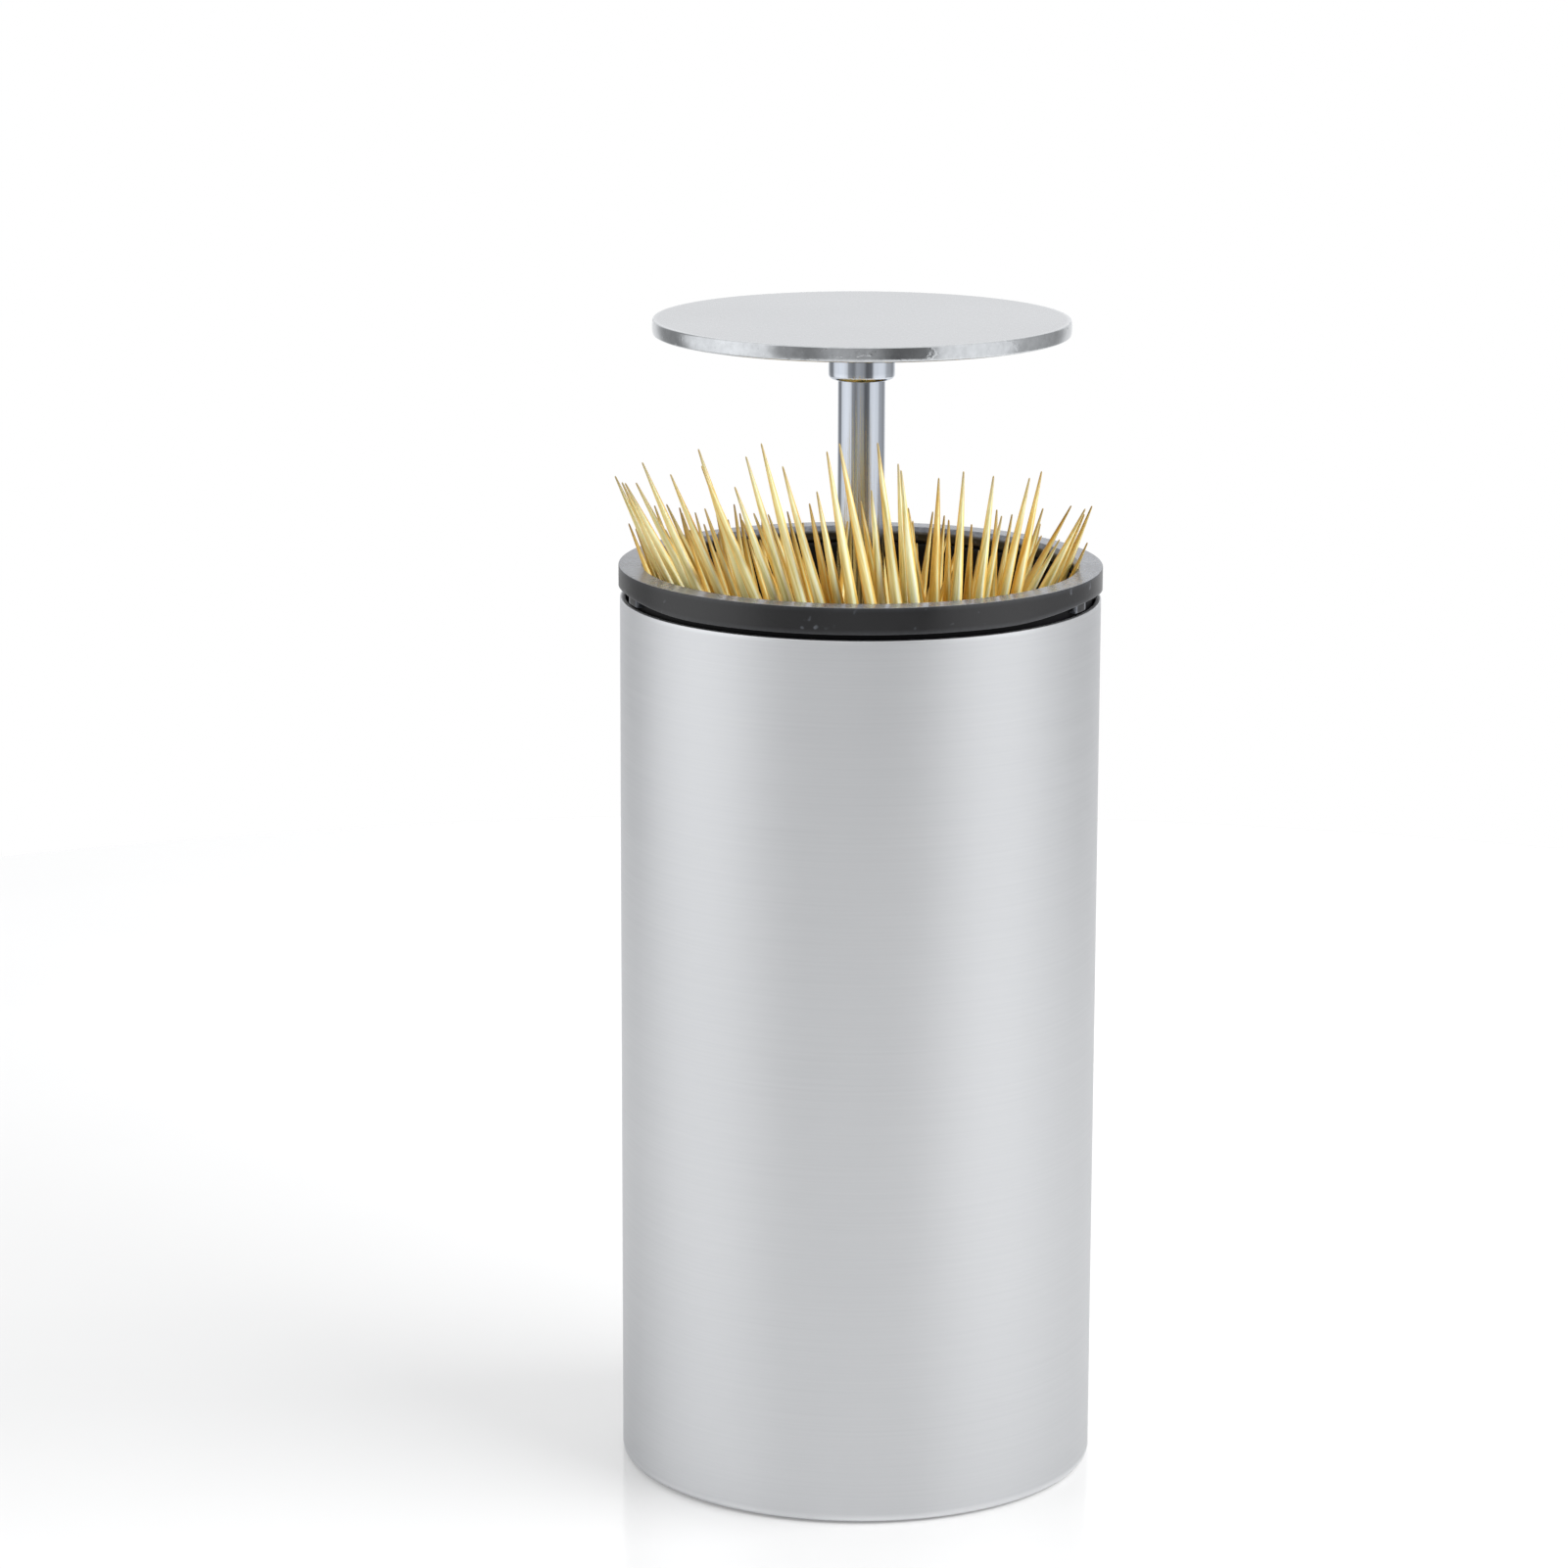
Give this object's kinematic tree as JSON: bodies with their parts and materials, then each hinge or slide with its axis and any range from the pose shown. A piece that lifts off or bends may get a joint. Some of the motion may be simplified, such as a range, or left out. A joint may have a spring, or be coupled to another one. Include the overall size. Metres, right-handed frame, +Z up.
{
  "type": "toothpick dispenser",
  "caption": "Push-to-open toothpick dispenser: round brushed steel body, black mouth ring, steel lid on a rod that lifts a fan of toothpicks and clicks down flush.",
  "frame": {"origin": "centre of the round foot on the table", "axes": "+Z runs up the rod, the axis of the round body; the toothpicks fan out over the -Y half of the rim"},
  "size_m": [0.0504, 0.0509, 0.1219],
  "materials": {
    "brushed_steel": "satin stainless steel, brushed",
    "polished_steel": "turned and polished stainless steel",
    "zinc_plated_steel": "zinc plated, dull",
    "spring_wire": "drawn steel wire",
    "black_plastic": "black moulded plastic, satin",
    "liner_plastic": "black moulded plastic, matt",
    "natural_acetal": "natural acetal, smooth",
    "foot_rubber": "soft matt rubber",
    "birch_wood": "bare pale wood, straight grain"
  },
  "bodies": {
    "casing": {"casing_sleeve": "brushed_steel", "top_ring": "black_plastic", "inner_cup": "liner_plastic", "base_plug": "black_plastic", "ratchet_collar": "natural_acetal", "foot_pad": "foot_rubber", "base_screw_1": "zinc_plated_steel", "base_screw_2": "zinc_plated_steel", "base_screw_3": "zinc_plated_steel", "spring_seat": "zinc_plated_steel", "lift_spring": "spring_wire"},
    "lid": {"lid_disc": "brushed_steel", "rod_collar": "polished_steel", "lifting_rod": "polished_steel", "toothpick_carrier": "liner_plastic", "carrier_washer": "zinc_plated_steel", "carrier_nut": "zinc_plated_steel", "rotor_clip": "spring_wire"},
    "catch": {"click_rotor": "natural_acetal"},
    "toothpick_01": {"toothpick_01": "birch_wood"},
    "toothpick_02": {"toothpick_02": "birch_wood"},
    "toothpick_03": {"toothpick_03": "birch_wood"},
    "toothpick_04": {"toothpick_04": "birch_wood"},
    "toothpick_05": {"toothpick_05": "birch_wood"},
    "toothpick_06": {"toothpick_06": "birch_wood"},
    "toothpick_07": {"toothpick_07": "birch_wood"},
    "toothpick_08": {"toothpick_08": "birch_wood"},
    "toothpick_09": {"toothpick_09": "birch_wood"},
    "toothpick_10": {"toothpick_10": "birch_wood"},
    "toothpick_11": {"toothpick_11": "birch_wood"},
    "toothpick_12": {"toothpick_12": "birch_wood"},
    "toothpick_13": {"toothpick_13": "birch_wood"},
    "toothpick_14": {"toothpick_14": "birch_wood"},
    "toothpick_15": {"toothpick_15": "birch_wood"},
    "toothpick_16": {"toothpick_16": "birch_wood"},
    "toothpick_17": {"toothpick_17": "birch_wood"},
    "toothpick_18": {"toothpick_18": "birch_wood"},
    "toothpick_19": {"toothpick_19": "birch_wood"},
    "toothpick_20": {"toothpick_20": "birch_wood"},
    "toothpick_21": {"toothpick_21": "birch_wood"},
    "toothpick_22": {"toothpick_22": "birch_wood"},
    "toothpick_23": {"toothpick_23": "birch_wood"},
    "toothpick_24": {"toothpick_24": "birch_wood"},
    "toothpick_25": {"toothpick_25": "birch_wood"},
    "toothpick_26": {"toothpick_26": "birch_wood"},
    "toothpick_27": {"toothpick_27": "birch_wood"},
    "toothpick_28": {"toothpick_28": "birch_wood"},
    "toothpick_29": {"toothpick_29": "birch_wood"},
    "toothpick_30": {"toothpick_30": "birch_wood"},
    "toothpick_31": {"toothpick_31": "birch_wood"},
    "toothpick_32": {"toothpick_32": "birch_wood"},
    "toothpick_33": {"toothpick_33": "birch_wood"},
    "toothpick_34": {"toothpick_34": "birch_wood"},
    "toothpick_35": {"toothpick_35": "birch_wood"},
    "toothpick_36": {"toothpick_36": "birch_wood"},
    "toothpick_37": {"toothpick_37": "birch_wood"},
    "toothpick_38": {"toothpick_38": "birch_wood"},
    "toothpick_39": {"toothpick_39": "birch_wood"}
  },
  "joints": [
    {"name": "lid_slide", "type": "slide", "parent": "casing", "child": "lid", "axis": [0, 0, 1], "range_m": [-0.0276, 0], "stiffness_N_per_m": 120, "springref_m": 0.012, "deforming": ["lift_spring"]},
    {"name": "catch_turn", "type": "hinge", "parent": "lid", "child": "catch", "pos_m": [0, 0, 0.0376], "axis": [0, 0, 1], "continuous": true},
    {"name": "toothpick_fold_01", "type": "hinge", "parent": "lid", "child": "toothpick_01", "pos_m": [-0.00144, 0.0135, 0.0492], "axis": [0.6443, -0.7648, 0], "range_deg": [-14.18, 0]},
    {"name": "toothpick_fold_02", "type": "hinge", "parent": "lid", "child": "toothpick_02", "pos_m": [0.00042, 0.00814, 0.0492], "axis": [0.6035, -0.7974, 0], "range_deg": [-14.16, 0]},
    {"name": "toothpick_fold_03", "type": "hinge", "parent": "lid", "child": "toothpick_03", "pos_m": [0.00532, -0.00204, 0.0492], "axis": [0.3126, -0.9499, 0], "range_deg": [-14.09, 0]},
    {"name": "toothpick_fold_04", "type": "hinge", "parent": "lid", "child": "toothpick_04", "pos_m": [0.00579, -0.00424, 0.0492], "axis": [0.3154, -0.949, 0], "range_deg": [-13.85, 0]},
    {"name": "toothpick_fold_05", "type": "hinge", "parent": "lid", "child": "toothpick_05", "pos_m": [0.00338, -0.01145, 0.0492], "axis": [0.0971, -0.9953, 0], "range_deg": [-12.24, 0]},
    {"name": "toothpick_fold_06", "type": "hinge", "parent": "lid", "child": "toothpick_06", "pos_m": [0.00415, -0.00545, 0.0492], "axis": [0.4884, -0.8726, 0], "range_deg": [-12.63, 0]},
    {"name": "toothpick_fold_07", "type": "hinge", "parent": "lid", "child": "toothpick_07", "pos_m": [0.0036, -0.01445, 0.0492], "axis": [0.1709, -0.9853, 0], "range_deg": [-10.01, 0]},
    {"name": "toothpick_fold_08", "type": "hinge", "parent": "lid", "child": "toothpick_08", "pos_m": [0.00826, -0.01662, 0.0492], "axis": [0.1029, -0.9947, 0], "range_deg": [-11.74, 0]},
    {"name": "toothpick_fold_09", "type": "hinge", "parent": "lid", "child": "toothpick_09", "pos_m": [0.00318, 0.01135, 0.0492], "axis": [0.8028, -0.5963, 0], "range_deg": [-15.42, 0]},
    {"name": "toothpick_fold_10", "type": "hinge", "parent": "lid", "child": "toothpick_10", "pos_m": [0.00133, 0.00902, 0.0492], "axis": [0.858, -0.5136, 0], "range_deg": [-14.77, 0]},
    {"name": "toothpick_fold_11", "type": "hinge", "parent": "lid", "child": "toothpick_11", "pos_m": [0.00679, -0.00266, 0.0492], "axis": [0.7185, -0.6956, 0], "range_deg": [-13.07, 0]},
    {"name": "toothpick_fold_12", "type": "hinge", "parent": "lid", "child": "toothpick_12", "pos_m": [0.0117, 0.00772, 0.0492], "axis": [0.7394, -0.6733, 0], "range_deg": [-15.35, 0]},
    {"name": "toothpick_fold_13", "type": "hinge", "parent": "lid", "child": "toothpick_13", "pos_m": [0.00602, -0.01145, 0.0492], "axis": [0.5167, -0.8562, 0], "range_deg": [-10.1, 0]},
    {"name": "toothpick_fold_14", "type": "hinge", "parent": "lid", "child": "toothpick_14", "pos_m": [0.00603, -0.01836, 0.0492], "axis": [0.1837, -0.983, 0], "range_deg": [-8.22, 0]},
    {"name": "toothpick_fold_15", "type": "hinge", "parent": "lid", "child": "toothpick_15", "pos_m": [0.0086, 0.00615, 0.0492], "axis": [0.8151, -0.5794, 0], "range_deg": [-14.86, 0]},
    {"name": "toothpick_fold_16", "type": "hinge", "parent": "lid", "child": "toothpick_16", "pos_m": [0.00806, -0.00888, 0.0492], "axis": [0.6976, -0.7165, 0], "range_deg": [-10.82, 0]},
    {"name": "toothpick_fold_17", "type": "hinge", "parent": "lid", "child": "toothpick_17", "pos_m": [0.00527, 0.00443, 0.0492], "axis": [0.9404, -0.3401, 0], "range_deg": [-14, 0]},
    {"name": "toothpick_fold_18", "type": "hinge", "parent": "lid", "child": "toothpick_18", "pos_m": [0.00609, 0.00006, 0.0492], "axis": [0.9258, -0.3781, 0], "range_deg": [-13.01, 0]},
    {"name": "toothpick_fold_19", "type": "hinge", "parent": "lid", "child": "toothpick_19", "pos_m": [0.00699, -0.01125, 0.0492], "axis": [0.7936, -0.6084, 0], "range_deg": [-8.6, 0]},
    {"name": "toothpick_fold_20", "type": "hinge", "parent": "lid", "child": "toothpick_20", "pos_m": [0.01008, -0.01501, 0.0492], "axis": [0.562, -0.8271, 0], "range_deg": [-7.54, 0]},
    {"name": "toothpick_fold_21", "type": "hinge", "parent": "lid", "child": "toothpick_21", "pos_m": [0.00637, 0.00209, 0.0492], "axis": [0.9809, -0.1947, 0], "range_deg": [-12.96, 0]},
    {"name": "toothpick_fold_22", "type": "hinge", "parent": "lid", "child": "toothpick_22", "pos_m": [0.00914, 0.00612, 0.0492], "axis": [0.9538, -0.3004, 0], "range_deg": [-14, 0]},
    {"name": "toothpick_fold_23", "type": "hinge", "parent": "lid", "child": "toothpick_23", "pos_m": [0.00932, -0.01223, 0.0492], "axis": [0.8351, -0.5501, 0], "range_deg": [-7.17, 0]},
    {"name": "toothpick_fold_24", "type": "hinge", "parent": "lid", "child": "toothpick_24", "pos_m": [0.01014, -0.00413, 0.0492], "axis": [0.9607, -0.2777, 0], "range_deg": [-10.95, 0]},
    {"name": "toothpick_fold_25", "type": "hinge", "parent": "lid", "child": "toothpick_25", "pos_m": [0.00755, -0.00303, 0.0492], "axis": [0.9832, -0.1824, 0], "range_deg": [-10.5, 0]},
    {"name": "toothpick_fold_26", "type": "hinge", "parent": "lid", "child": "toothpick_26", "pos_m": [0.01199, 0.00827, 0.0492], "axis": [0.9732, -0.2299, 0], "range_deg": [-14.39, 0]},
    {"name": "toothpick_fold_27", "type": "hinge", "parent": "lid", "child": "toothpick_27", "pos_m": [0.00739, 0.01359, 0.0492], "axis": [0.9979, -0.0642, 0], "range_deg": [-15.18, 0]},
    {"name": "toothpick_fold_28", "type": "hinge", "parent": "lid", "child": "toothpick_28", "pos_m": [0.00661, 0.00027, 0.0492], "axis": [0.9991, 0.0429, 0], "range_deg": [-11.94, 0]},
    {"name": "toothpick_fold_29", "type": "hinge", "parent": "lid", "child": "toothpick_29", "pos_m": [0.00876, 0.01413, 0.0492], "axis": [1, 0.0004, 0], "range_deg": [-15.17, 0]},
    {"name": "toothpick_fold_30", "type": "hinge", "parent": "lid", "child": "toothpick_30", "pos_m": [0.00778, -0.00124, 0.0492], "axis": [0.9949, 0.1012, 0], "range_deg": [-11.28, 0]},
    {"name": "toothpick_fold_31", "type": "hinge", "parent": "lid", "child": "toothpick_31", "pos_m": [0.00992, 0.01555, 0.0492], "axis": [0.9995, 0.0328, 0], "range_deg": [-15.39, 0]},
    {"name": "toothpick_fold_32", "type": "hinge", "parent": "lid", "child": "toothpick_32", "pos_m": [0.00747, 0.00129, 0.0492], "axis": [0.9738, 0.2275, 0], "range_deg": [-11.96, 0]},
    {"name": "toothpick_fold_33", "type": "hinge", "parent": "lid", "child": "toothpick_33", "pos_m": [0.012, 0.01384, 0.0492], "axis": [0.9988, 0.0481, 0], "range_deg": [-14.78, 0]},
    {"name": "toothpick_fold_34", "type": "hinge", "parent": "lid", "child": "toothpick_34", "pos_m": [0.00516, 0.01102, 0.0492], "axis": [0.9642, 0.265, 0], "range_deg": [-14.9, 0]},
    {"name": "toothpick_fold_35", "type": "hinge", "parent": "lid", "child": "toothpick_35", "pos_m": [0.0059, 0.00311, 0.0492], "axis": [0.9097, 0.4153, 0], "range_deg": [-12.47, 0]},
    {"name": "toothpick_fold_36", "type": "hinge", "parent": "lid", "child": "toothpick_36", "pos_m": [0.00782, 0.00361, 0.0492], "axis": [0.9142, 0.4054, 0], "range_deg": [-12.05, 0]},
    {"name": "toothpick_fold_37", "type": "hinge", "parent": "lid", "child": "toothpick_37", "pos_m": [-0.00025, 0.02006, 0.0492], "axis": [0.8761, 0.4821, 0], "range_deg": [-16.1, 0]},
    {"name": "toothpick_fold_38", "type": "hinge", "parent": "lid", "child": "toothpick_38", "pos_m": [-0.00402, 0.01555, 0.0492], "axis": [0.7827, 0.6224, 0], "range_deg": [-16.15, 0]},
    {"name": "toothpick_fold_39", "type": "hinge", "parent": "lid", "child": "toothpick_39", "pos_m": [-0.00141, 0.01257, 0.0492], "axis": [0.7187, 0.6953, 0], "range_deg": [-15.24, 0]}
  ],
  "couplings": [
    {"joint": "toothpick_fold_01", "follows": "lid_slide", "rad_per_m": 8.9015},
    {"joint": "toothpick_fold_02", "follows": "lid_slide", "rad_per_m": 8.89},
    {"joint": "toothpick_fold_03", "follows": "lid_slide", "rad_per_m": 8.8485},
    {"joint": "toothpick_fold_04", "follows": "lid_slide", "rad_per_m": 8.6963},
    {"joint": "toothpick_fold_05", "follows": "lid_slide", "rad_per_m": 7.6749},
    {"joint": "toothpick_fold_06", "follows": "lid_slide", "rad_per_m": 7.9237},
    {"joint": "toothpick_fold_07", "follows": "lid_slide", "rad_per_m": 6.2639},
    {"joint": "toothpick_fold_08", "follows": "lid_slide", "rad_per_m": 7.3607},
    {"joint": "toothpick_fold_09", "follows": "lid_slide", "rad_per_m": 9.6849},
    {"joint": "toothpick_fold_10", "follows": "lid_slide", "rad_per_m": 9.279},
    {"joint": "toothpick_fold_11", "follows": "lid_slide", "rad_per_m": 8.1991},
    {"joint": "toothpick_fold_12", "follows": "lid_slide", "rad_per_m": 9.6466},
    {"joint": "toothpick_fold_13", "follows": "lid_slide", "rad_per_m": 6.3212},
    {"joint": "toothpick_fold_14", "follows": "lid_slide", "rad_per_m": 5.1337},
    {"joint": "toothpick_fold_15", "follows": "lid_slide", "rad_per_m": 9.3312},
    {"joint": "toothpick_fold_16", "follows": "lid_slide", "rad_per_m": 6.7807},
    {"joint": "toothpick_fold_17", "follows": "lid_slide", "rad_per_m": 8.79},
    {"joint": "toothpick_fold_18", "follows": "lid_slide", "rad_per_m": 8.1623},
    {"joint": "toothpick_fold_19", "follows": "lid_slide", "rad_per_m": 5.3744},
    {"joint": "toothpick_fold_20", "follows": "lid_slide", "rad_per_m": 4.7059},
    {"joint": "toothpick_fold_21", "follows": "lid_slide", "rad_per_m": 8.134},
    {"joint": "toothpick_fold_22", "follows": "lid_slide", "rad_per_m": 8.7881},
    {"joint": "toothpick_fold_23", "follows": "lid_slide", "rad_per_m": 4.4709},
    {"joint": "toothpick_fold_24", "follows": "lid_slide", "rad_per_m": 6.8607},
    {"joint": "toothpick_fold_25", "follows": "lid_slide", "rad_per_m": 6.5793},
    {"joint": "toothpick_fold_26", "follows": "lid_slide", "rad_per_m": 9.0391},
    {"joint": "toothpick_fold_27", "follows": "lid_slide", "rad_per_m": 9.5389},
    {"joint": "toothpick_fold_28", "follows": "lid_slide", "rad_per_m": 7.4847},
    {"joint": "toothpick_fold_29", "follows": "lid_slide", "rad_per_m": 9.528},
    {"joint": "toothpick_fold_30", "follows": "lid_slide", "rad_per_m": 7.0713},
    {"joint": "toothpick_fold_31", "follows": "lid_slide", "rad_per_m": 9.6687},
    {"joint": "toothpick_fold_32", "follows": "lid_slide", "rad_per_m": 7.501},
    {"joint": "toothpick_fold_33", "follows": "lid_slide", "rad_per_m": 9.2806},
    {"joint": "toothpick_fold_34", "follows": "lid_slide", "rad_per_m": 9.3607},
    {"joint": "toothpick_fold_35", "follows": "lid_slide", "rad_per_m": 7.82},
    {"joint": "toothpick_fold_36", "follows": "lid_slide", "rad_per_m": 7.5597},
    {"joint": "toothpick_fold_37", "follows": "lid_slide", "rad_per_m": 10.12},
    {"joint": "toothpick_fold_38", "follows": "lid_slide", "rad_per_m": 10.152},
    {"joint": "toothpick_fold_39", "follows": "lid_slide", "rad_per_m": 9.5754}
  ]
}
